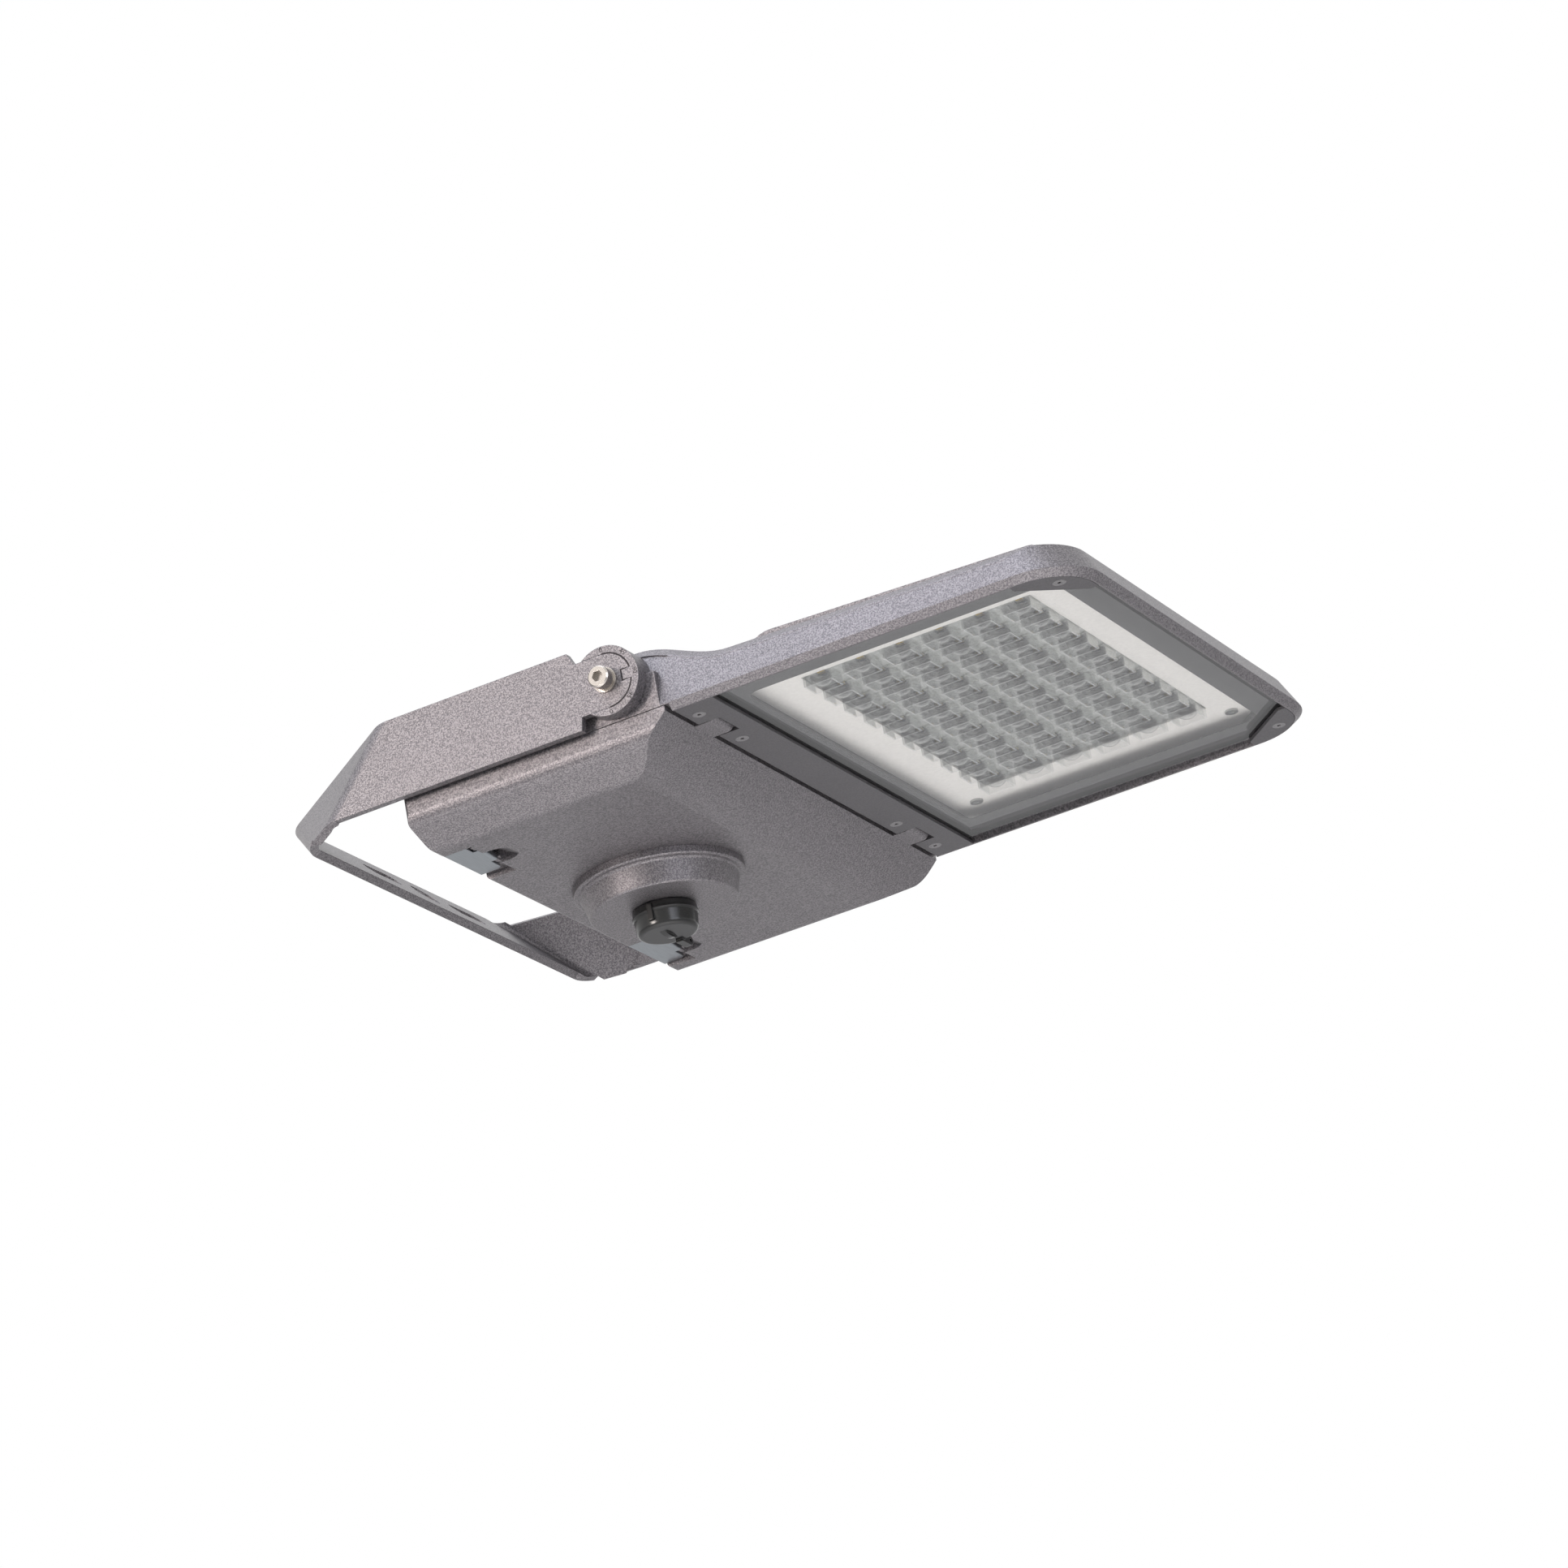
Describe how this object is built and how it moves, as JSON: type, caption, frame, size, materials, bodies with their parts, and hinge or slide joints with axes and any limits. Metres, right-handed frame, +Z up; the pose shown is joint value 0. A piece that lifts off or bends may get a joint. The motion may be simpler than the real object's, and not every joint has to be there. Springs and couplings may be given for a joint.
{
  "type": "led flood light",
  "caption": "Flat LED area floodlight with a lens array behind glass, a hinged gear door with a capped socket dome and latches, on a folded stirrup bracket with angle scales.",
  "frame": {"origin": "middle of the bracket's fixing hole, on the outer face of the crossbar", "axes": "+X from the bracket to the lamp's nose, +Y across the lamp, +Z up with the glass facing down"},
  "size_m": [0.5366, 0.389, 0.1221],
  "materials": {
    "bracket_powder_coat": "grey powder coat with fine speckle on steel plate",
    "disc_powder_coat": "grey powder coat with fine speckle on die-cast aluminium",
    "pivot_stainless": "bright stainless steel",
    "casting_powder_coat": "die-cast aluminium with grey powder coat",
    "tempered_glass": "clear toughened glass with a black printed border",
    "gasket_silicone": "black silicone",
    "panel_white": "matt white",
    "board_white": "white solder mask on aluminium board",
    "led_phosphor": "yellow phosphor",
    "lens_polycarbonate": "clear polycarbonate",
    "zinc_screw": "zinc-plated steel",
    "clamp_powder_coat": "grey powder coat",
    "hinge_plate_powder_coat": "grey powder coat",
    "pin_steel": "plain steel",
    "tray_galvanised": "galvanised steel sheet",
    "driver_aluminium": "plain aluminium case, potted",
    "terminal_nylon": "white nylon",
    "surge_case": "red plastic case",
    "black_nylon": "black nylon",
    "cap_black_plastic": "glossy black plastic",
    "door_powder_coat": "die-cast aluminium with grey powder coat",
    "dome_powder_coat": "die-cast aluminium with grey powder coat",
    "latch_stainless": "brushed stainless sheet"
  },
  "bodies": {
    "bracket": {"bracket": "bracket_powder_coat", "scale_disc_near": "disc_powder_coat", "scale_disc_far": "disc_powder_coat", "pivot_screws": "pivot_stainless", "pivot_washers": "pivot_stainless"},
    "lamp": {"housing": "casting_powder_coat", "front_glass": "tempered_glass", "glass_gasket": "gasket_silicone", "reflector_panel": "panel_white", "led_board": "board_white", "led_packages": "led_phosphor", "lens_strip_1": "lens_polycarbonate", "lens_strip_2": "lens_polycarbonate", "lens_strip_3": "lens_polycarbonate", "lens_strip_4": "lens_polycarbonate", "lens_strip_5": "lens_polycarbonate", "lens_strip_6": "lens_polycarbonate", "panel_screws": "zinc_screw", "corner_clamp_near": "clamp_powder_coat", "corner_clamp_far": "clamp_powder_coat", "clamp_screws": "zinc_screw", "hinge_plate": "hinge_plate_powder_coat", "hinge_plate_screws": "zinc_screw", "hinge_pins": "pin_steel", "gear_tray": "tray_galvanised", "tray_screws": "zinc_screw", "led_driver": "driver_aluminium", "terminal_block": "terminal_nylon", "surge_protector": "surge_case", "cable_gland": "black_nylon", "gland_nut": "black_nylon", "vent_plug": "black_nylon"},
    "door": {"door": "door_powder_coat", "door_gasket": "gasket_silicone", "socket_dome": "dome_powder_coat", "dome_gasket": "gasket_silicone", "dome_screws": "zinc_screw", "socket_base": "black_nylon", "latch_pins": "pin_steel"},
    "latch_near": {"latch_near": "latch_stainless"},
    "latch_far": {"latch_far": "latch_stainless"},
    "cap": {"socket_cap": "cap_black_plastic"}
  },
  "joints": [
    {"name": "lamp_tilt", "type": "hinge", "parent": "bracket", "child": "lamp", "pos_m": [0.23206, 0, 0.01116], "axis": [0, -1, 0], "range_deg": [-90, 90]},
    {"name": "door_hinge", "type": "hinge", "parent": "lamp", "child": "door", "pos_m": [0.26906, 0, -0.00784], "axis": [0, -1, 0], "range_deg": [0, 80]},
    {"name": "latch_near_hinge", "type": "hinge", "parent": "door", "child": "latch_near", "pos_m": [0.10376, -0.1135, -0.03214], "axis": [0, -1, 0], "range_deg": [0, 95]},
    {"name": "latch_far_hinge", "type": "hinge", "parent": "door", "child": "latch_far", "pos_m": [0.10376, 0.1135, -0.03214], "axis": [0, -1, 0], "range_deg": [0, 95]},
    {"name": "cap_twist", "type": "hinge", "parent": "door", "child": "cap", "pos_m": [0.15706, 0, -0.06184], "axis": [0, 0, 1], "range_deg": [0, 30]}
  ]
}
